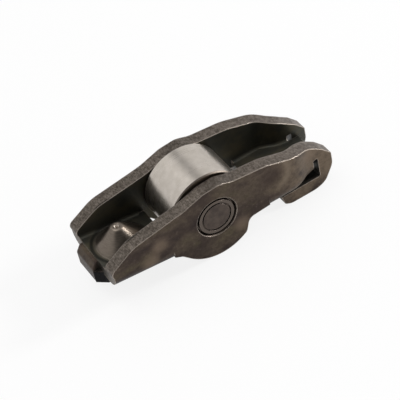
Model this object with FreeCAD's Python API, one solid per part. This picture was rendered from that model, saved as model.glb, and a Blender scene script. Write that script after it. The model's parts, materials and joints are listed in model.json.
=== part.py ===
import FreeCAD
import Part
import math
import os
from FreeCAD import Vector

os.makedirs("parts", exist_ok=True)

# Roller finger follower for an overhead-cam valve train, in millimetres.
# The roller axis passes through the origin along Y, X points to the valve end and the valve pad
# is level. The hub lobes and the valve guides end on one level, and the part lies on them.

# Driving dimensions: sheet and channel
sheet = 3.0
outer_bend_radius = 3.2
inner_bend_radius = 0.8
bend_overlap = 0.2
bend_relief = 1.2
pivot_end_width = 12.4
guide_gap = 7.1
neck_start = 18.2

# Driving dimensions: bearing
roller_wall = 2.86
roller_width = 11.0
roller_side_gap = 0.4
roller_chamfer = 0.25
pin_diameter = 9.0
needle_diameter = 1.6
needle_gap = 0.05
needle_end_gap = 0.3
bearing_clearance = 0.02
pin_recess = 0.15
pin_step_width = 0.32
pin_step_depth = 1.0
stake_radius = 3.15
stake_width = 0.35
stake_depth = 0.45
hub_radius = 10.3
hub_shift = -0.3
hub_left = -137.0
hub_right = -61.0
bore_chamfer = 0.3
bore_chamfer_depth = 0.7

# Driving dimensions: pivot end
pivot_end_x = -25.1
floor_slope = 7.1
floor_end_height = -4.1
floor_window_x = -9.9
socket_reach = 18.5
dome_foot_radius = 6.3
dome_foot_depth = 1.4
dome_radius = 5.35
dome_rim_height = 0.6
dome_height = 4.95
dome_crown = 1.2
dome_wall = 1.3
socket_mouth_radius = 4.2
oil_hole_radius = 0.4
oil_hole_chamfer = 0.25
lip_out = 1.7
lip_drop = 2.3
lip_sheet = 2.2
lip_return_run = 2.1
lip_return_side = 1.9
lip_return_height = 3.1
lip_near = -2.1
lip_far = 4.75

# Driving dimensions: valve end
web_window_x = 12.3
web_height = -6.3
web_end_x = 25.1
slot_width = 1.2
slot_top_height = -2.1
slot_rounding = 0.3
guide_root = 0.4
guide_slit = 0.9
guide_tip_x = 16.4
arm_width = 3.4
pad_start_x = 16.5
pad_end_x = 27.9
pad_height = 0.15
pad_side_gap = 0.25

# Driving dimensions: upper edge of the walls, as x, height and rounding from the pivot end on
back_edge = [(-25.6, 0.7, 1.4), (-19.5, 4.3, 8.0), (-7.0, 6.2, 10.0)]
hub_edge = [(-2.0, 7.8, 4.0), (2.0, 8.1, 4.0), (5.2, 7.0, 6.0)]
front_edge = [(12.8, 6.2, 14.0), (20.1, 3.95, 16.0), (24.6, 1.9, 8.0), (27.6, -0.2, 2.0)]

# Driving dimensions: guides, as distance in from the arm's end, height above the level that the
# part lies on, and rounding
guide_edge = [(0.0, 4.7, 4.0), (2.3, 0.9, 3.0), (4.6, 0.0, 6.0)]
guide_tip_edge = [(2.0, 0.0, 3.0), (0.5, 0.8, 0.8)]

# Driving dimensions: lower edge of the walls
wall_low_left = -4.45
wall_low_right = -4.7
lobe_foot_left = -5.3
lobe_foot_right = -5.1
lobe_run_left = 1.65
lobe_run_right = 5.2
lobe_side_run = 1.2
lobe_side_slope = 70.0
lobe_roundings = (1.2, 1.5, 1.8)

# Worked-out sizes
wall_y = roller_width / 2 + roller_side_gap
outer_y = wall_y + sheet
pin_radius = pin_diameter / 2
needle_circle = pin_radius + bearing_clearance + needle_diameter / 2
needle_step = 2 * math.asin((needle_diameter + needle_gap) / 2 / needle_circle)
needle_count = int(2 * math.pi / needle_step)
roller_bore_radius = needle_circle + needle_diameter / 2 + bearing_clearance
roller_radius = roller_bore_radius + roller_wall
needle_length = roller_width - 2 * needle_end_gap
pivot_outer_y = pivot_end_width / 2 + sheet
guide_outer_y = guide_gap / 2 + sheet
arm_inner_x = web_end_x + slot_width
arm_outer_x = arm_inner_x + arm_width
neck_end = arm_inner_x
beyond = 1.5 * arm_outer_x
guide_top = web_height - guide_slit
floor_fall = math.tan(math.radians(floor_slope))
floor_step = sheet / math.cos(math.radians(floor_slope))


def floor_bottom(x):
    """Height of the underside of the pivot end's floor."""
    return floor_end_height - floor_fall * (x - pivot_end_x)


def rounded_edges(corners, closed=True):
    """Edges of an outline through (point, radius) corners, each rounded by a tangent arc."""
    count = len(corners)
    spans = []
    for i, (corner, radius) in enumerate(corners):
        if radius == 0 or (not closed and i in (0, count - 1)):
            spans.append((corner, None, corner))
            continue
        before = (corners[i - 1][0] - corner).normalize()
        after = (corners[(i + 1) % count][0] - corner).normalize()
        half = before.getAngle(after) / 2
        reach = radius / math.tan(half)
        inward = (before + after).normalize()
        middle = corner + inward * (radius / math.sin(half) - radius)
        spans.append((corner + before * reach, middle, corner + after * reach))
    edges = []
    for i, (start, middle, end) in enumerate(spans):
        if middle is not None:
            edges.append(Part.Arc(start, middle, end).toShape())
        if not closed and i == count - 1:
            break
        following = spans[(i + 1) % count][0]
        if (following - end).Length > 1e-6:
            edges.append(Part.LineSegment(end, following).toShape())
    return edges


def side_plate(corners, y_from, y_to):
    """A plate with a side outline of (x, z, radius) corners, between two planes across the arm."""
    points = [(Vector(x, y_from, z), radius) for x, z, radius in corners]
    face = Part.Face(Part.Wire(rounded_edges(points)))
    return face.extrude(Vector(0, y_to - y_from, 0))


def plan_prism(inset):
    """The arm's plan, drawn in from its outer faces by a distance, as a tall prism."""
    low = -beyond
    shift = outer_y - guide_outer_y
    run = neck_end - neck_start
    neck_radius = (run * run + shift * shift) / (4 * shift)
    angle = math.atan2(shift, run)
    first = neck_radius - inset
    second = neck_radius + inset
    centre_a = Vector(neck_start, outer_y - neck_radius, low)
    centre_b = Vector(neck_end, guide_outer_y + neck_radius, low)

    def on_first(turn):
        return centre_a + Vector(math.sin(turn), math.cos(turn), 0) * first

    def on_second(turn):
        return centre_b - Vector(math.sin(turn), math.cos(turn), 0) * second

    taper = (pivot_outer_y - outer_y) / (floor_window_x - pivot_end_x)
    taper_inset = inset / math.cos(math.atan(taper))
    back_x = pivot_end_x - 5
    back_y = pivot_outer_y + 5 * taper - taper_inset
    bend_x = floor_window_x - (taper_inset - inset) / taper if taper else floor_window_x
    front_x = arm_outer_x + 5
    upper = [
        Part.LineSegment(Vector(back_x, back_y, low), Vector(bend_x, outer_y - inset, low)),
        Part.LineSegment(Vector(bend_x, outer_y - inset, low), on_first(0)),
        Part.Arc(on_first(0), on_first(angle), on_first(2 * angle)),
        Part.Arc(on_second(2 * angle), on_second(angle), on_second(0)),
        Part.LineSegment(on_second(0), Vector(front_x, guide_outer_y - inset, low)),
    ]
    half = [piece.toShape() for piece in upper]
    mirrored = [edge.mirror(Vector(0, 0, 0), Vector(0, 1, 0)) for edge in half]
    caps = [
        Part.LineSegment(Vector(x, y, low), Vector(x, -y, low)).toShape()
        for x, y in ((back_x, back_y), (front_x, guide_outer_y - inset))
    ]
    wire = Part.Wire(Part.__sortEdges__(half + mirrored + caps))
    return Part.Face(wire).extrude(Vector(0, 0, 2 * beyond))


def wall_outline():
    """Side outline of the plain walls, from the pivot end along the top to the valve end."""
    bend_top = outer_bend_radius + bend_overlap
    floor_joint = floor_window_x - bend_relief
    end = [(arm_outer_x, slot_top_height - guide_root, 0)]
    slot = [
        (arm_inner_x, slot_top_height - guide_root, 0),
        (arm_inner_x, slot_top_height, slot_rounding),
        (web_end_x, slot_top_height, slot_rounding),
        (web_end_x, web_height + bend_top, 0),
    ]
    bottom = [
        (web_window_x, web_height + bend_top, 0),
        (web_window_x, wall_low_right, 0),
        (floor_joint, wall_low_left, 0),
        (floor_joint, floor_bottom(floor_joint) + bend_top, 0),
        (pivot_end_x, floor_bottom(pivot_end_x) + bend_top, 0),
    ]
    return back_edge + hub_edge + front_edge + end + slot + bottom


def lobe_outline():
    """Side outline of the lobes that carry the pin, rounded into the walls' lower edge."""
    half = math.radians((hub_right - hub_left) / 2)
    middle = math.radians((hub_right + hub_left) / 2)
    reach = hub_radius / math.cos(half)
    corner = (hub_shift + reach * math.cos(middle), reach * math.sin(middle), hub_radius)

    def on_hub(degrees):
        turn = math.radians(degrees)
        return hub_shift + hub_radius * math.cos(turn), hub_radius * math.sin(turn)

    left_x, left_z = on_hub(hub_left)
    foot_left = left_x + (lobe_foot_left - left_z) / math.tan(math.radians(hub_left - 90))
    side_x, side_z = on_hub(hub_right)
    side_x += lobe_side_run
    side_z += lobe_side_run * math.tan(math.radians(hub_right + 90))
    foot_right = side_x + (lobe_foot_right - side_z) / math.tan(math.radians(lobe_side_slope))
    left_rounding, side_rounding, right_rounding = lobe_roundings
    return [
        (foot_right + lobe_run_right, wall_low_right, 0),
        (foot_right, lobe_foot_right, right_rounding),
        (side_x, side_z, side_rounding),
        corner,
        (foot_left, lobe_foot_left, left_rounding),
        (foot_left - lobe_run_left, wall_low_left, 0),
        (foot_left - lobe_run_left, wall_low_left + 1, 0),
        (foot_right + lobe_run_right, wall_low_left + 1, 0),
    ]


def folded_strip(x_from, x_to, z_from, z_to):
    """A solid strip of the channel's lower part with its two long corners rounded by the bends."""
    rise = outer_bend_radius + 2 * bend_overlap
    outline = [
        (x_from, z_from, 0),
        (x_to, z_to, 0),
        (x_to, z_to + rise, 0),
        (x_from, z_from + rise, 0),
    ]
    strip = side_plate(outline, -beyond, beyond).common(plan_prism(0)).removeSplitter()

    def on_bend(edge):
        middle = edge.valueAt((edge.FirstParameter + edge.LastParameter) / 2)
        bottom = z_from + (z_to - z_from) * (middle.x - x_from) / (x_to - x_from)
        return abs(middle.y) > guide_outer_y - 0.01 and abs(middle.z - bottom) < 0.01

    return strip.makeFillet(outer_bend_radius, [edge for edge in strip.Edges if on_bend(edge)])


def channel_block():
    """The outside of the folded channel: plain walls above, rounded bends below."""
    plates = side_plate(wall_outline(), -beyond, beyond).fuse(
        side_plate(lobe_outline(), -beyond, beyond)
    )
    walls = plates.common(plan_prism(0))
    joint = floor_window_x - bend_relief
    floor = folded_strip(pivot_end_x, joint, floor_bottom(pivot_end_x), floor_bottom(joint))
    web = folded_strip(web_window_x, web_end_x, web_height, web_height)
    return walls.fuse([floor, web])


def folded_hollow(x_from, x_to, z_from, z_to):
    """The space between the walls above a strip, rounded along the inside of the bends."""
    outline = [(x_from, z_from, 0), (x_to, z_to, 0), (x_to, beyond, 0), (x_from, beyond, 0)]
    hollow = side_plate(outline, -beyond, beyond).common(plan_prism(sheet)).removeSplitter()

    def in_bend(edge):
        middle = edge.valueAt((edge.FirstParameter + edge.LastParameter) / 2)
        bottom = z_from + (z_to - z_from) * (middle.x - x_from) / (x_to - x_from)
        return abs(middle.y) > guide_gap / 2 - 0.01 and abs(middle.z - bottom) < 0.01

    return hollow.makeFillet(inner_bend_radius, [edge for edge in hollow.Edges if in_bend(edge)])


def channel_cavity():
    """The space between the walls: above the floor, through the roller window, above the web."""
    start = pivot_end_x - sheet
    joint = floor_window_x - bend_relief
    web_top = web_height + sheet
    roller_window = [
        (joint, beyond, 0),
        (joint, floor_bottom(joint) + floor_step, 0),
        (floor_window_x, floor_bottom(floor_window_x) + floor_step, 0),
        (floor_window_x, -beyond, 0),
        (web_window_x, -beyond, 0),
        (web_window_x, beyond, 0),
    ]
    front = [
        (web_end_x, -beyond, 0),
        (arm_outer_x + sheet, -beyond, 0),
        (arm_outer_x + sheet, beyond, 0),
        (web_end_x, beyond, 0),
    ]
    openings = [
        side_plate(outline, -beyond, beyond).common(plan_prism(sheet))
        for outline in (roller_window, front)
    ]
    over_floor = folded_hollow(
        start, joint, floor_bottom(start) + floor_step, floor_bottom(joint) + floor_step
    )
    over_web = folded_hollow(web_window_x, web_end_x, web_top, web_top)
    return over_floor.fuse(openings + [over_web]).removeSplitter()


def guide_plate(side):
    """One valve guide: the wall's arm carried round under the web as a straight strip."""
    root = slot_top_height - guide_root
    bend = [(arm_outer_x - run, rise - hub_radius, radius) for run, rise, radius in guide_edge]
    tip = [(guide_tip_x + run, rise - hub_radius, radius) for run, rise, radius in guide_tip_edge]
    slot = [(guide_tip_x, guide_top, guide_root), (arm_inner_x, guide_top, guide_root)]
    outline = [(arm_outer_x, root, 0)] + bend + tip + slot + [(arm_inner_x, root, 0)]
    inner = side * guide_gap / 2
    return side_plate(outline, inner, inner + side * sheet)


def valve_pad():
    """The coined pad between the guides, carried on past the web as a short tongue."""
    low = web_height - pad_height
    top = web_height + sheet
    outline = [
        (pad_start_x, low, 0),
        (pad_end_x, low, 0.5),
        (pad_end_x, top, 0.5),
        (web_end_x - 1, top, 0),
        (web_end_x - 1, web_height + sheet / 2, 0),
        (pad_start_x, web_height + sheet / 2, 0),
    ]
    half = guide_gap / 2 - pad_side_gap
    return side_plate(outline, -half, half)


def turned_on_floor(profile):
    """A solid of revolution about the socket's upright axis, with heights from the floor's top."""
    x = -socket_reach
    wire = Part.Wire(rounded_edges([(Vector(r, 0, h), radius) for r, h, radius in profile]))
    solid = Part.Face(wire).revolve(Vector(0, 0, 0), Vector(0, 0, 1), 360)
    solid.translate(Vector(x, 0, floor_bottom(x) + floor_step))
    return solid


def socket_dome():
    """The drawn dome that stands up from the floor as a cone with a small rounded crown."""
    profile = [
        (0, -dome_foot_depth, 0),
        (dome_foot_radius, -dome_foot_depth, 0),
        (dome_foot_radius, -dome_foot_depth / 2, 0),
        (dome_radius, dome_rim_height, 2.0),
        (dome_crown, dome_height, 0.9),
        (0, dome_height, 0),
    ]
    return turned_on_floor(profile)


def socket_hollow():
    """The socket for the lash adjuster's ball, open below, with the oil hole through its top."""
    mouth = -2 * sheet
    ceiling = dome_height - dome_wall
    slope = (dome_radius - dome_crown) / (dome_height - dome_rim_height)
    inner_crown = dome_crown - dome_wall * (math.sqrt(1 + slope * slope) - slope)
    rim = ceiling - (socket_mouth_radius - inner_crown) / slope
    profile = [
        (0, mouth, 0),
        (socket_mouth_radius, mouth, 0),
        (socket_mouth_radius, rim, 1.5),
        (inner_crown, ceiling, 0),
        (0, ceiling, 0),
    ]
    hole = [
        (0, 0, 0),
        (oil_hole_radius, 0, 0),
        (oil_hole_radius, dome_height - oil_hole_chamfer, 0),
        (oil_hole_radius + 2 * oil_hole_chamfer, dome_height + oil_hole_chamfer, 0),
        (0, dome_height + oil_hole_chamfer, 0),
    ]
    return turned_on_floor(profile).fuse(turned_on_floor(hole))


def end_lip():
    """The floor's end turned down into a lip that stands out from the channel."""
    x = pivot_end_x - lip_out
    low = floor_bottom(pivot_end_x) - lip_drop
    top_x = pivot_end_x + sheet / 2
    top = floor_bottom(top_x) + floor_step
    outline = [
        (top_x, top, 0),
        (x + lip_sheet / 2, top + 0.2, 0.8),
        (x, top - sheet / 2, 1.0),
        (x, low, 0.4),
        (x + lip_sheet, low, 0.4),
        (x + lip_sheet, floor_bottom(x + lip_sheet), 0.4),
        (top_x, floor_bottom(top_x), 0),
    ]
    return side_plate(outline, lip_near, lip_far)


def lip_return():
    """The lip's near end, cut obliquely in plan until it meets the end of the floor."""
    x = pivot_end_x - lip_out
    low = floor_bottom(pivot_end_x) - lip_drop
    side = lip_near - lip_return_side
    plan = [
        Vector(x, lip_near, low),
        Vector(x + lip_return_run, side, low),
        Vector(x + lip_return_run + lip_sheet, side, low),
        Vector(x + lip_sheet, lip_near, low),
    ]
    face = Part.Face(Part.makePolygon(plan + plan[:1]))
    return face.extrude(Vector(0, 0, lip_return_height))


def hub_bore():
    """The pin's bore through both walls, chamfered where the pin is staked."""
    reach = outer_y + 1
    bore = Part.makeCylinder(pin_radius, 2 * reach, Vector(0, -reach, 0), Vector(0, 1, 0))
    for side in (-1, 1):
        flare = Part.makeCone(
            pin_radius, pin_radius + bore_chamfer, bore_chamfer_depth,
            Vector(0, side * (outer_y - bore_chamfer_depth), 0), Vector(0, side, 0),
        )
        bore = bore.fuse(flare)
    return bore


def arm_body():
    """The whole stamping: channel, guides, pad, dome, socket, lip and bores as one sheet."""
    body = channel_block().cut(channel_cavity())
    added = [guide_plate(-1), guide_plate(1), valve_pad(), socket_dome(), end_lip(), lip_return()]
    body = body.fuse(added)
    body = body.cut([socket_hollow(), hub_bore()])
    return body.removeSplitter()


def turned_on_axis(profile):
    """A solid of revolution about the roller axis, from (radius, y, rounding) corners."""
    wire = Part.Wire(rounded_edges([(Vector(r, y, 0), radius) for r, y, radius in profile]))
    return Part.Face(wire).revolve(Vector(0, 0, 0), Vector(0, 1, 0), 360)


def roller_pin():
    """The hardened axle: each end is stepped down and staked by a ring groove."""
    end = outer_y - pin_recess
    step = end - pin_step_depth
    nose = pin_radius - pin_step_width
    profile = [
        (0, -end, 0),
        (nose, -end, 0),
        (nose, -step, 0),
        (pin_radius, -step, 0),
        (pin_radius, step, 0),
        (nose, step, 0),
        (nose, end, 0),
        (0, end, 0),
    ]
    pin = turned_on_axis(profile)
    for side in (-1, 1):
        near = side * (end - stake_depth)
        far = side * (end + 1)
        groove = turned_on_axis([
            (stake_radius, near, 0),
            (stake_radius + stake_width, near, 0),
            (stake_radius + stake_width, far, 0),
            (stake_radius, far, 0),
        ])
        pin = pin.cut(groove)
    return pin


def roller():
    """The outer ring that the cam runs on."""
    half = roller_width / 2
    rim = roller_radius
    bevel = roller_chamfer
    profile = [
        (roller_bore_radius, -half, 0),
        (rim - bevel, -half, 0),
        (rim, -half + bevel, 0),
        (rim, half - bevel, 0),
        (rim - bevel, half, 0),
        (roller_bore_radius, half, 0),
    ]
    return turned_on_axis(profile)


def needle(index):
    """One flat-ended bearing needle at its place round the pin."""
    half = needle_length / 2
    radius = needle_diameter / 2
    profile = [(0, -half, 0), (radius, -half, 0), (radius, half, 0), (0, half, 0)]
    roll = turned_on_axis(profile)
    roll.translate(Vector(needle_circle, 0, 0))
    roll.rotate(Vector(0, 0, 0), Vector(0, 1, 0), 360.0 * index / needle_count)
    return roll


pieces = {"arm_body": arm_body(), "roller_pin": roller_pin(), "roller": roller()}
for number in range(needle_count):
    pieces["needle_%02d" % (number + 1)] = needle(number)

for name, shape in pieces.items():
    shape.Solids[0].exportStep("parts/" + name + ".step")
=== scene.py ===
import json

import bpy
from mathutils import Matrix, Vector


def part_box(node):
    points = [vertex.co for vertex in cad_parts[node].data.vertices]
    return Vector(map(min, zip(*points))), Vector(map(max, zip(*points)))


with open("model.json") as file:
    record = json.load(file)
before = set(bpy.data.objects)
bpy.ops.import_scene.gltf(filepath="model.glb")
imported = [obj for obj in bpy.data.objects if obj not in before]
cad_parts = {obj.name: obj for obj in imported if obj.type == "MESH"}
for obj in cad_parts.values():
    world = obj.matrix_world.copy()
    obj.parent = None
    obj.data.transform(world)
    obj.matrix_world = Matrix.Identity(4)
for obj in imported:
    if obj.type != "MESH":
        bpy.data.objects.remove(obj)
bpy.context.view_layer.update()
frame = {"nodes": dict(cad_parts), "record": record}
mounts = {mount["name"]: mount for mount in frame["record"]["mounts"]}

# Features of the part that come from the frame, in metres
DOME_X = mounts["pivot_socket"]["pos_m"][0]
FLOOR_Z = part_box("arm_body")[0].z

# Features of the part that are repeated from its source, in metres
WALL_INNER_Y = 0.0059
GUIDE_INNER_Y = 0.00355
NECK_START_X = 0.0182
NECK_END_X = 0.0263
PIVOT_END_X = -0.0251
OIL_HOLE_RADIUS = 0.0004
STAKE_RADIUS = 0.0035

# Places that masks follow, in metres: a radius just inside the dome's foot, the lip's end as a
# place along and across the part, and the bends' ends as places along and up it
DOME_RADIUS = 0.0062
LIP_END = (-0.0258, -0.0026)
BEND_ENDS = ((-0.0111, -0.0053), (0.0123, -0.0055))

# Borders of masks in metres: half the usual width, the width at a wall's inner face, and how far
# from the dome's foot its painted shade is gone and full
BORDER = 0.0002
WALL_BORDER = 0.0003
FOOT_SHADE_REACH = (0.0006, 0.0001)

# Stretches along or up the part over which a mask goes from nothing to full, in metres: the
# steel that is paler towards the valve end, its sheared edges, the oil hole and the lip's end
PALER_X = (0.008, 0.022)
PALER_EDGE_X = (0.002, 0.012)
OIL_HOLE_Z = (0.0, 0.0005)
LIP_X = (-0.02, -0.022)
LIP_Z = (-0.0028, -0.0032)

# Edges rubbed pale, on the arm with a painted highlight where they face -Y: their radius in metres,
# and how far the rounded normal has to turn there, as one less its cosine, for the wear to begin and to
# be full
ARM_WEAR = (0.00038, 0.015, 0.16)
PIN_WEAR = (0.00012, 0.03, 0.25)

# Distances in metres over which that wear comes back beside the ends of the lip and the bends
LIP_END_REACH = (0.0016, 0.0024)
BEND_END_REACH = (0.0012, 0.002)

# Shelter by other faces: how near they count, in metres, and the share of open surroundings with
# which the painted shade in corners is full and gone
SHELTER = (0.006, 0.2, 0.72)

# Marks on the walls, by their places along and up the part, in metres: painted shade of a pressed
# dent, darkest in its core, with a painted highlight on its rim that sets in on its side towards the
# valve end, and pale patches with their radius
DENT_SHADING_PLACE = (0.0137, 0.0028)
DENT_SHADING_RADIUS = 0.0042
DENT_SHADE_CORE_RADIUS = 0.001
DENT_HIGHLIGHT_REACH = (0.0013, 0.0001)
DENT_HIGHLIGHT_RUN = 0.003
PALE_PATCHES = (
    (-0.0137, 0.001, 0.003),
    (-0.0165, -0.002, 0.003),
    (0.0052, -0.0054, 0.003),
    (0.0238, 0.0006, 0.0028),
)
PALE_PATCH_CORE_RADIUS = 0.0004

# Range that most of a noise lies in
NOISE_RANGE = (0.3, 0.7)

# Roughness of each steel in its smoothest and its roughest places, and the depth of its fine
# relief in metres
ARM_ROUGHNESS = (0.36, 0.5)
PIN_ROUGHNESS = (0.34, 0.46)
ROLLER_ROUGHNESS = (0.27, 0.31)
NEEDLE_ROUGHNESS = (0.14, 0.22)
ARM_RELIEF = 0.00003
PIN_RELIEF = 0.00002
ROLLER_RELIEF = 0.0000004
NEEDLE_RELIEF = 0.000002

# How much smoother the drawn dome is than the sheet round it, and how much less metallic the steel
# is made in sheltered corners, where painted shade darkens it, and inside the channel
DOME_ROUGHNESS_DROP = 0.1
DOME_RELIEF_SHARE = 0.08
SHELTERED_METALLIC = 0.3
INSIDE_METALLIC_DROP = 0.24

# Studio: the level of its light, and the place, size and depth of a darker gap in it behind the
# part, as directions from the part
SKY_LEVEL = 0.8
GAP_X = 0.17
GAP_REACH_X = (0.24, 0.02)
GAP_START_Y = (0.2, 0.5)
GAP_DEPTH = 0.6

# The unlit room on the photographer's side: its direction from the part, and how far a direction
# has to agree with it for the room to begin and to be full
ROOM_SIDE = (-0.17, -0.76, 0.63)
ROOM_REACH = (0.55, 0.85)
ROOM_DEPTH = 0.8

# Lamps that face the part: place and side in metres, and power in watts
SOFTBOXES = {
    "key": ((-0.15, 0.1, 0.7), 0.5, 1.2),
    "side": ((0.7, -0.16, 0.33), 0.16, 3.5),
}

# Floor: half its side in metres, and its shares of plain white for the camera and in reflections
FLOOR_HALF = 1.5
WHITE_SEEN = 0.84
WHITE_MIRRORED = 0.3

# Camera, fitted to the photograph: lens and sensor in millimetres, near and far limit and place
# in metres, and where the picture's right and down point
LENS = 158.8
SENSOR = 36.0
CLIP = (0.01, 10.0)
CAMERA_PLACE = (-0.09796, -0.24489, 0.25637)
CAMERA_RIGHT = (0.83963, -0.51640, -0.16838)
CAMERA_DOWN = (-0.47299, -0.54275, -0.69405)


def rgb(red, green, blue):
    """A display colour out of 255 as a linear colour."""

    def linear(value):
        value /= 255.0
        return value / 12.92 if value <= 0.04045 else ((value + 0.055) / 1.055) ** 2.4

    return (linear(red), linear(green), linear(blue), 1.0)


# Colours of the arm's sheet, with its patches and flecks, the painted shade and highlight of a dent,
# the pale patches and its grey-green inner faces
DARK_BROWN = rgb(66, 56, 51)
BROWN = rgb(86, 75, 65)
OLIVE = rgb(90, 81, 66)
DEEP_BROWN = rgb(50, 42, 41)
PALER_BROWN = rgb(117, 103, 88)
DARK_FLECK = rgb(44, 37, 33)
PALE_FLECK = rgb(112, 100, 90)
# Painted highlight and painted shade of a pressed dent on the wall
PAINTED_DENT_HIGHLIGHT = rgb(126, 113, 98)
PAINTED_DENT_SHADE = rgb(54, 43, 41)
PALE_PATCH_COLOUR = rgb(124, 108, 93)
INSIDE_GREY = rgb(70, 70, 64)
INSIDE_OLIVE = rgb(86, 81, 66)

# Colours of the arm's sheared edges, pale partly as painted highlight, of its dome, of its worn
# edges with their painted highlight, of the painted shade in corners, round the dome's foot and on
# the lip's end, and of the oil hole's wall
SHEARED_DARK = rgb(84, 77, 71)
SHEARED_PALE = rgb(130, 121, 112)
SHEARED_PALER = rgb(152, 140, 130)
SHEARED_FLECK = rgb(66, 59, 52)
DRAWN_DARK = rgb(110, 101, 92)
DRAWN_PALE = rgb(128, 118, 108)
PAINTED_FOOT_SHADE = rgb(24, 23, 20)
WORN_AND_HIGHLIT = rgb(190, 178, 167)
WORN = rgb(150, 139, 130)
PAINTED_CORNER_SHADE = rgb(36, 36, 31)
PAINTED_RECESS_SHADE = rgb(20, 20, 21)
HOLE_WALL = rgb(222, 212, 200)

# Colours of the pin, the roller, the needles and the floor
PIN_DARK = rgb(70, 62, 58)
PIN_PALE = rgb(91, 81, 74)
PIN_RIM = rgb(98, 89, 82)
PIN_WORN = rgb(150, 138, 130)
GROUND_DARK = rgb(198, 190, 180)
GROUND_PALE = rgb(212, 204, 195)
END_FACE = rgb(168, 156, 144)
POLISHED_DARK = rgb(206, 203, 200)
POLISHED_PALE = rgb(218, 216, 213)
FLOOR_GREY = (0.93, 0.93, 0.93, 1.0)
FLOOR_PALE = (0.95, 0.95, 0.95, 1.0)
WHITE = (1.0, 1.0, 1.0, 1.0)


class Nodes:
    """A node tree, with one short call for each kind of node that is used here."""

    def __init__(self, owner, output):
        owner.use_nodes = True
        self.owner = owner
        self.tree = owner.node_tree
        self.tree.nodes.clear()
        self.output = self.tree.nodes.new(output)

    def add(self, kind, inputs=None, **settings):
        node = self.tree.nodes.new(kind)
        for key, value in settings.items():
            setattr(node, key, value)
        for key, value in (inputs or {}).items():
            self.put(node.inputs[key], value)
        return node

    def put(self, socket, value):
        if isinstance(value, bpy.types.NodeSocket):
            self.tree.links.new(value, socket)
        else:
            socket.default_value = value

    def math(self, operation, a, b=0.0, clamp=False):
        node = self.add("ShaderNodeMath", {0: a, 1: b}, operation=operation, use_clamp=clamp)
        return node.outputs[0]

    def times(self, a, b):
        """The product of two values, which is where two masks both hold."""
        return self.math("MULTIPLY", a, b)

    def off(self, value, middle):
        """How far a value is from a middle one, on either side."""
        return self.math("ABSOLUTE", self.math("SUBTRACT", value, middle))

    def span(self, value, low, high, to_low=0.0, to_high=1.0, smooth=True):
        """The value mapped from one range to another, held at both ends."""
        node = self.add(
            "ShaderNodeMapRange",
            {"Value": value, "From Min": low, "From Max": high, "To Min": to_low, "To Max": to_high},
        )
        node.interpolation_type = "SMOOTHSTEP" if smooth else "LINEAR"
        return node.outputs["Result"]

    def spread(self, noise, low=0.0, high=1.0):
        """A noise stretched so that it fills the range from low to high."""
        return self.span(noise, *NOISE_RANGE, low, high)

    def mix(self, factor, a, b):
        """A blend of two colours. Inputs 6 and 7 and output 2 are the node's colour sockets."""
        node = self.add("ShaderNodeMix", data_type="RGBA")
        self.put(node.inputs[0], factor)
        self.put(node.inputs[6], a)
        self.put(node.inputs[7], b)
        return node.outputs[2]

    def split(self, vector):
        """The three numbers of a vector."""
        return tuple(self.add("ShaderNodeSeparateXYZ", {0: vector}).outputs)

    def dot(self, a, b):
        node = self.add("ShaderNodeVectorMath", {0: a, 1: b}, operation="DOT_PRODUCT")
        return node.outputs["Value"]

    def distance(self, a, b, point):
        """How far a place is from a point in a plane, from its two coordinates there."""
        place = self.add("ShaderNodeCombineXYZ", {0: a, 1: b}).outputs[0]
        node = self.add("ShaderNodeVectorMath", {0: place, 1: (*point, 0.0)}, operation="DISTANCE")
        return node.outputs["Value"]

    def finish(self, surface):
        """Sends a shader to the output and gives back what the tree belongs to."""
        self.tree.links.new(surface.outputs[0], self.output.inputs["Surface"])
        return self.owner


class MaterialNodes(Nodes):
    """The nodes of a new material."""

    def __init__(self, name):
        super().__init__(bpy.data.materials.new(name), "ShaderNodeOutputMaterial")

    def axes(self):
        """The three coordinates of a place, in metres."""
        return self.split(self.add("ShaderNodeTexCoord").outputs["Object"])

    def facing(self):
        """How much a face looks along each axis, from -1 to 1."""
        return self.split(self.add("ShaderNodeTexCoord").outputs["Normal"])

    def place(self, stretch=(1, 1, 1)):
        """Object coordinates in millimetres, stretched by a factor along each axis."""
        coordinates = self.add("ShaderNodeTexCoord").outputs["Object"]
        scale = [1000.0 * s for s in stretch]
        return self.add("ShaderNodeMapping", {"Vector": coordinates, "Scale": scale}).outputs[0]

    def noise(self, place, scale, detail=4.0, roughness=0.55):
        """A cloudy noise from 0 to 1. Its scale is about the number of clouds per millimetre."""
        node = self.add(
            "ShaderNodeTexNoise",
            {"Vector": place, "Scale": scale, "Detail": detail, "Roughness": roughness},
        )
        return node.outputs["Fac"]

    def edge_wear(self, radius, start, full):
        """A mask of the edges, rounded with a radius, and the normal rounded there."""
        soft = self.add("ShaderNodeBevel", {"Radius": radius}, samples=6).outputs[0]
        true = self.add("ShaderNodeNewGeometry").outputs["True Normal"]
        turned = self.math("SUBTRACT", 1.0, self.dot(soft, true), clamp=True)
        return self.span(turned, start, full), soft

    def openness(self, reach, low, high):
        """How open a place is, from 0 in a sheltered corner to 1 on an open face."""
        shelter = self.add("ShaderNodeAmbientOcclusion", {"Distance": reach}, samples=8, only_local=True)
        return self.span(shelter.outputs["AO"], low, high)

    def steel(self, colour, rough, height, relief, worn_normal=None, metallic=1.0):
        """A metal surface from its colour, roughness and fine relief in metres."""
        inputs = {"Height": height, "Strength": 1.0, "Distance": relief}
        if worn_normal is not None:
            inputs["Normal"] = worn_normal
        bump = self.add("ShaderNodeBump", inputs).outputs[0]
        surface = self.add(
            "ShaderNodeBsdfPrincipled",
            {"Base Color": colour, "Roughness": rough, "Normal": bump, "Metallic": metallic},
        )
        return self.finish(surface)


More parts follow.
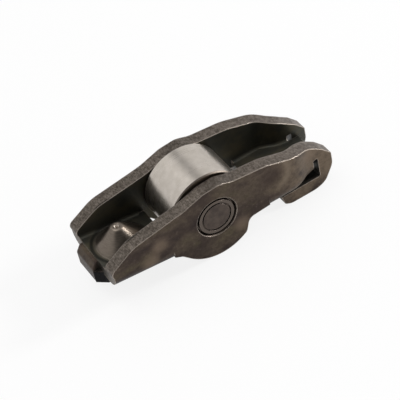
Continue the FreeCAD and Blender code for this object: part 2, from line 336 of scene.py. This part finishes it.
class ArmNodes(MaterialNodes):
    """The arm's material, with the noises, distances and zones that its layers share."""

    def __init__(self):
        super().__init__("stamped_steel")
        self.x, self.y, self.z = self.axes()
        self.facing_x, self.facing_y, self.facing_z = self.facing()
        self.along = self.place((0.6, 1.0, 1.0))
        self.patch = self.noise(self.along, 0.26, 7.0, 0.62)
        self.fleck = self.noise(self.place(), 1.3, 7.0, 0.75)
        self.grain = self.noise(self.place(), 4.5, 6.0, 0.7)
        # How open each place is: painted shade fills the sheltered corners
        self.clean = self.openness(*SHELTER)

        inner = self.span(self.x, NECK_START_X, NECK_END_X, WALL_INNER_Y, GUIDE_INNER_Y)
        self.into_wall = self.math("SUBTRACT", self.math("ABSOLUTE", self.y), inner)
        self.inside = self.times(
            self.span(self.into_wall, 3 * BORDER, BORDER),
            self.span(self.x, PIVOT_END_X - BORDER, PIVOT_END_X + BORDER),
        )
        self.from_dome = self.distance(self.x, self.y, (DOME_X, 0.0))
        self.upward = self.span(self.facing_z, 0.1, 0.3)
        self.drawn = self.times(
            self.span(self.from_dome, DOME_RADIUS, 0.75 * DOME_RADIUS),
            self.upward,
        )
        self.oil_hole = self.times(
            self.span(self.from_dome, OIL_HOLE_RADIUS + BORDER, OIL_HOLE_RADIUS),
            self.span(self.z, *OIL_HOLE_Z),
        )


def mottled_sheet(arm):
    """Brown steel with olive and dark patches, paler towards the valve end, and flecked."""
    broad = arm.noise(arm.along, 0.14, 4.0)
    colour = arm.mix(arm.span(broad, 0.4, 0.6), DARK_BROWN, BROWN)
    colour = arm.mix(arm.span(arm.patch, 0.5, 0.72), colour, OLIVE)
    colour = arm.mix(arm.span(arm.patch, 0.5, 0.28), colour, DEEP_BROWN)
    paler = arm.times(arm.span(arm.x, *PALER_X, 0.0, 0.9), arm.span(arm.patch, 0.25, 0.6))
    colour = arm.mix(paler, colour, PALER_BROWN)
    colour = arm.mix(arm.span(arm.fleck, 0.4, 0.7, 0.0, 0.45), colour, DARK_FLECK)
    return arm.mix(arm.span(arm.fleck, 0.45, 0.3, 0.0, 0.35), colour, PALE_FLECK)


def painted_dent_shading(arm, colour):
    """Adds painted shade of a pressed dent, darkest in its core, with a painted highlight on its
    valve-side rim.
    """
    from_mark = arm.distance(arm.x, arm.z, DENT_SHADING_PLACE)
    rim = arm.times(
        arm.span(arm.off(from_mark, DENT_SHADING_RADIUS), *DENT_HIGHLIGHT_REACH, 0.0, 0.5),
        arm.span(arm.x, DENT_SHADING_PLACE[0], DENT_SHADING_PLACE[0] + DENT_HIGHLIGHT_RUN),
    )
    colour = arm.mix(rim, colour, PAINTED_DENT_HIGHLIGHT)
    dent_shade = arm.times(
        arm.span(from_mark, DENT_SHADING_RADIUS, DENT_SHADE_CORE_RADIUS, 0.0, 0.7),
        arm.span(arm.patch, 0.3, 0.55),
    )
    return arm.mix(dent_shade, colour, PAINTED_DENT_SHADE)


def add_pale_patches(arm, colour):
    """Adds the pale patches."""
    for x, z, radius in PALE_PATCHES:
        from_patch = arm.distance(arm.x, arm.z, (x, z))
        pale = arm.times(
            arm.span(from_patch, radius, PALE_PATCH_CORE_RADIUS, 0.0, 0.6),
            arm.span(arm.patch, 0.25, 0.5, 0.5, 1.0),
        )
        colour = arm.mix(pale, colour, PALE_PATCH_COLOUR)
    return colour


def grey_green_inside(arm, colour):
    """Adds the slightly green faces inside the channel."""
    in_channel = arm.mix(arm.span(arm.patch, 0.35, 0.65), INSIDE_GREY, INSIDE_OLIVE)
    return arm.mix(arm.inside, colour, in_channel)


def sheared_edges(arm, colour):
    """Adds the cut faces and shear lines, pale from wear and painted highlight, paler to the valve end.
    """
    cut_face = arm.times(
        arm.span(arm.into_wall, -WALL_BORDER, 0.0),
        arm.span(arm.math("ABSOLUTE", arm.facing_y), 0.45, 0.25),
    )
    lines = arm.noise(arm.place((1.0, 0.35, 1.0)), 3.5, 5.0, 0.7)
    cut = arm.mix(arm.span(lines, 0.34, 0.66), SHEARED_DARK, SHEARED_PALE)
    cut = arm.mix(arm.span(arm.x, *PALER_EDGE_X, 0.0, 0.25), cut, SHEARED_PALER)
    cut = arm.mix(arm.span(arm.fleck, 0.42, 0.64, 0.0, 0.75), cut, SHEARED_FLECK)
    return arm.mix(cut_face, colour, cut)


def drawn_dome(arm, colour):
    """Adds the burnished dome with its drawing rings, and painted shade round its foot."""
    rings = arm.noise(arm.place((0.3, 0.3, 3.0)), 2.4, 4.0, 0.7)
    burnished = arm.mix(arm.spread(rings), DRAWN_DARK, DRAWN_PALE)
    colour = arm.mix(arm.drawn, colour, burnished)
    off_foot = arm.off(arm.from_dome, DOME_RADIUS)
    foot_shade = arm.times(arm.span(off_foot, *FOOT_SHADE_REACH, 0.0, 0.8), arm.upward)
    return arm.mix(foot_shade, colour, PAINTED_FOOT_SHADE)


def worn_edges(arm, colour):
    """Adds rubbed pale edges, with painted highlight brightest where they face -Y, and gives their
    normal.
    """
    edge, soft = arm.edge_wear(*ARM_WEAR)
    worn = arm.times(edge, arm.span(arm.grain, 0.2, 0.45))
    worn = arm.times(worn, arm.math("SUBTRACT", arm.clean, arm.drawn, clamp=True))
    worn = arm.times(worn, arm.span(arm.distance(arm.x, arm.y, LIP_END), *LIP_END_REACH))
    for bend_end in BEND_ENDS:
        worn = arm.times(worn, arm.span(arm.distance(arm.x, arm.z, bend_end), *BEND_END_REACH))
    highlit_wear = arm.mix(arm.span(arm.split(soft)[1], -0.5, -0.2), WORN_AND_HIGHLIT, WORN)
    return arm.mix(worn, colour, highlit_wear), soft


def shade_sheltered_corners(arm, colour):
    """Adds painted shade, a dark grey, in sheltered corners."""
    return arm.mix(arm.clean, PAINTED_CORNER_SHADE, colour)


def oil_hole_wall(arm, colour):
    """Adds the bright wall of the oil hole."""
    return arm.mix(arm.oil_hole, colour, HOLE_WALL)


def shade_lip_end(arm, colour):
    """Adds painted shade, near black, on the lip's oblique end."""
    oblique = arm.times(arm.span(arm.facing_x, -0.3, -0.5), arm.span(arm.facing_y, -0.3, -0.5))
    lip_shade = arm.times(oblique, arm.span(arm.z, *LIP_Z))
    lip_shade = arm.times(lip_shade, arm.span(arm.x, *LIP_X))
    return arm.mix(lip_shade, colour, PAINTED_RECESS_SHADE)


def stamped_steel():
    """Dark heat-treated sheet: mottled, grey-green inside, paler on sheared and worn edges, with painted
    light and shade.
    """
    arm = ArmNodes()
    colour = mottled_sheet(arm)
    for layer in (painted_dent_shading, add_pale_patches, grey_green_inside, sheared_edges, drawn_dome):
        colour = layer(arm, colour)
    colour, soft = worn_edges(arm, colour)
    for layer in (shade_sheltered_corners, oil_hole_wall, shade_lip_end):
        colour = layer(arm, colour)

    rough = arm.spread(arm.patch, *ARM_ROUGHNESS)
    rough = arm.math("SUBTRACT", rough, arm.times(arm.drawn, DOME_ROUGHNESS_DROP))
    relief = arm.times(arm.grain, arm.span(arm.drawn, 0.0, 1.0, 1.0, DOME_RELIEF_SHARE))
    in_channel = arm.times(arm.inside, arm.span(arm.drawn, 0.0, 1.0, INSIDE_METALLIC_DROP, 0.0))
    dull = arm.math("ADD", in_channel, arm.oil_hole)
    metallic = arm.span(arm.clean, 0.0, 1.0, SHELTERED_METALLIC, 1.0)
    metallic = arm.math("SUBTRACT", metallic, dull, clamp=True)
    return arm.steel(colour, rough, relief, ARM_RELIEF, soft, metallic)


def pin_steel():
    """Hardened axle: dark like the arm, with a paler rim round its staked ring."""
    pin = MaterialNodes("pin_steel")
    patch = pin.noise(pin.place(), 0.6, 4.0)
    grain = pin.noise(pin.place(), 6.0, 5.0, 0.65)
    colour = pin.mix(pin.spread(patch), PIN_DARK, PIN_PALE)
    x, _, z = pin.axes()
    from_axis = pin.distance(x, z, (0.0, 0.0))
    rim = pin.span(from_axis, STAKE_RADIUS - BORDER, STAKE_RADIUS + BORDER)
    colour = pin.mix(rim, colour, PIN_RIM)
    worn, soft = pin.edge_wear(*PIN_WEAR)
    colour = pin.mix(worn, colour, PIN_WORN)
    return pin.steel(colour, pin.spread(patch, *PIN_ROUGHNESS), grain, PIN_RELIEF, soft)


def roller_steel():
    """Fine ground rolling surface with faint grinding lines round it, and darker end faces."""
    roller = MaterialNodes("roller_steel")
    lines = roller.noise(roller.place((0.02, 4.0, 0.02)), 1.2, 4.0, 0.6)
    patch = roller.noise(roller.place(), 0.6, 5.0, 0.65)
    colour = roller.mix(roller.spread(patch), GROUND_DARK, GROUND_PALE)
    end_face = roller.span(roller.math("ABSOLUTE", roller.facing()[1]), 0.2, 0.6)
    colour = roller.mix(end_face, colour, END_FACE)
    return roller.steel(colour, roller.spread(lines, *ROLLER_ROUGHNESS), lines, ROLLER_RELIEF)


def needle_steel():
    """Polished bearing needles."""
    needle = MaterialNodes("needle_steel")
    lines = needle.noise(needle.place((4.0, 0.2, 4.0)), 1.5, 3.0)
    colour = needle.mix(needle.spread(lines), POLISHED_DARK, POLISHED_PALE)
    return needle.steel(colour, needle.spread(lines, *NEEDLE_ROUGHNESS), lines, NEEDLE_RELIEF)


def dress(name, material):
    """Gives a node of the part its material."""
    target = frame["nodes"][name]
    target.data.materials.clear()
    target.data.materials.append(material)


def floor_material():
    """White floor that keeps the part's shadow, lightened for the camera and in reflections."""
    floor = MaterialNodes("white_floor")
    cloud = floor.noise(floor.place(), 0.002, 2.0)
    colour = floor.mix(cloud, FLOOR_GREY, FLOOR_PALE)
    diffuse = floor.add("ShaderNodeBsdfDiffuse", {"Color": colour}).outputs[0]
    white = floor.add("ShaderNodeEmission", {"Color": WHITE, "Strength": 1.0}).outputs[0]
    path = floor.add("ShaderNodeLightPath")
    seen = floor.times(path.outputs["Is Camera Ray"], WHITE_SEEN)
    mirrored = floor.times(path.outputs["Is Glossy Ray"], WHITE_MIRRORED)
    share = floor.math("MAXIMUM", seen, mirrored)
    return floor.finish(floor.add("ShaderNodeMixShader", {0: share, 1: diffuse, 2: white}))


def stage_floor():
    """A square floor at the part's lowest level."""
    mesh = bpy.data.meshes.new("floor")
    sides = ((-1, -1), (1, -1), (1, 1), (-1, 1))
    corners = [(FLOOR_HALF * x, FLOOR_HALF * y, FLOOR_Z) for x, y in sides]
    mesh.from_pydata(corners, [], [(0, 1, 2, 3)])
    mesh.materials.append(floor_material())
    floor = bpy.data.objects.new("floor", mesh)
    bpy.context.collection.objects.link(floor)


def studio_world():
    """White backdrop whose light has two dimmer parts: a gap behind and the room in front."""
    world = Nodes(bpy.data.worlds.new("studio"), "ShaderNodeOutputWorld")
    direction = world.add("ShaderNodeTexCoord").outputs["Generated"]
    axes = world.split(direction)
    gap = world.times(
        world.span(world.off(axes[0], GAP_X), *GAP_REACH_X),
        world.span(axes[1], *GAP_START_Y),
    )
    room = world.span(world.dot(direction, ROOM_SIDE), *ROOM_REACH)
    light = world.times(
        world.span(gap, 0.0, 1.0, SKY_LEVEL, SKY_LEVEL * (1 - GAP_DEPTH), smooth=False),
        world.span(room, 0.0, 1.0, 1.0, 1 - ROOM_DEPTH, smooth=False),
    )
    seen = world.add("ShaderNodeLightPath").outputs["Is Camera Ray"]
    level = world.math("MAXIMUM", light, seen)
    backdrop = world.add("ShaderNodeBackground", {"Color": WHITE, "Strength": level})
    bpy.context.scene.world = world.finish(backdrop)


def softbox(name, place, size, power):
    """A square area lamp that faces the part."""
    lamp = bpy.data.lights.new(name, "AREA")
    lamp.shape = "SQUARE"
    lamp.size = size
    lamp.energy = power
    holder = bpy.data.objects.new(name, lamp)
    holder.location = place
    holder.rotation_euler = (-Vector(place)).to_track_quat("-Z", "Y").to_euler()
    bpy.context.collection.objects.link(holder)


def photo_camera():
    """The photograph's camera: its place, its slight roll and its long lens."""
    lens = bpy.data.cameras.new("camera")
    lens.sensor_width = SENSOR
    lens.lens = LENS
    lens.clip_start, lens.clip_end = CLIP
    camera = bpy.data.objects.new("camera", lens)
    right = Vector(CAMERA_RIGHT).normalized()
    up = -Vector(CAMERA_DOWN).normalized()
    back = right.cross(up).normalized()
    turn = Matrix((right, up, back)).transposed()
    camera.matrix_world = Matrix.Translation(CAMERA_PLACE) @ turn.to_4x4()
    bpy.context.collection.objects.link(camera)
    bpy.context.scene.camera = camera


dress("arm_body", stamped_steel())
dress("roller_pin", pin_steel())
dress("roller", roller_steel())
polished = needle_steel()
for name in frame["nodes"]:
    if name.startswith("needle_"):
        dress(name, polished)

stage_floor()
studio_world()
for name, settings in SOFTBOXES.items():
    softbox(name, *settings)
photo_camera()
bpy.context.scene.view_settings.view_transform = "Standard"
